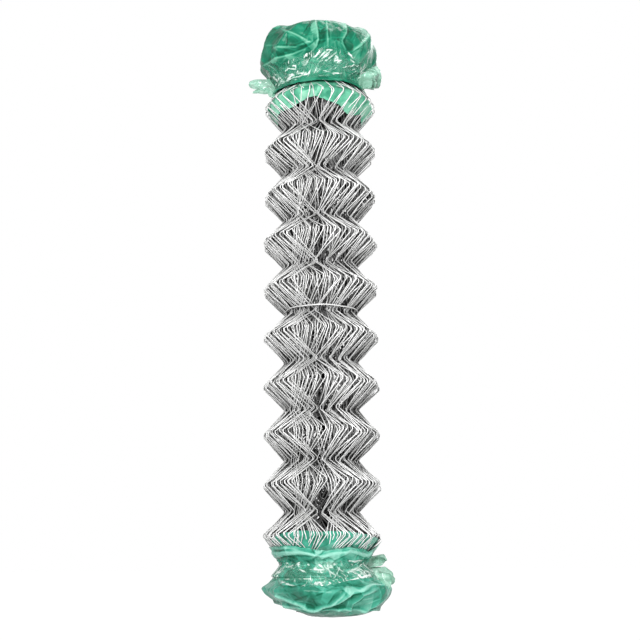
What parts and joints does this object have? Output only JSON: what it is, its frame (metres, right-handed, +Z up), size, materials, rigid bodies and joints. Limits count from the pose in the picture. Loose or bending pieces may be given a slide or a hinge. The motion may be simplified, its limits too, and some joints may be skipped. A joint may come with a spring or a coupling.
{
  "type": "roll of wire fencing",
  "caption": "Compact upright roll of galvanised diamond-mesh fencing, folded into bulges and waists, tied round the middle, each end bagged in green film and taped.",
  "frame": {"origin": "on the roll's axis, on the floor under the bottom bag's flat base", "axes": "+Z up along the roll's axis, -Y towards the viewer of the picture, +X to the viewer's right"},
  "size_m": [0.2354, 0.212, 1.0292],
  "materials": {
    "galvanised_wire": "bright galvanised, satin",
    "tie_wire": "bright galvanised, satin",
    "green_film": "thin crinkled polythene film, part see-through",
    "clear_tape": "clear glossy packing tape, crinkled"
  },
  "bodies": {
    "root": {"mesh_roll": "galvanised_wire", "tie_wire": "tie_wire", "top_film": "green_film", "bottom_film": "green_film", "top_tape": "clear_tape", "bottom_tape": "clear_tape"}
  },
  "joints": []
}
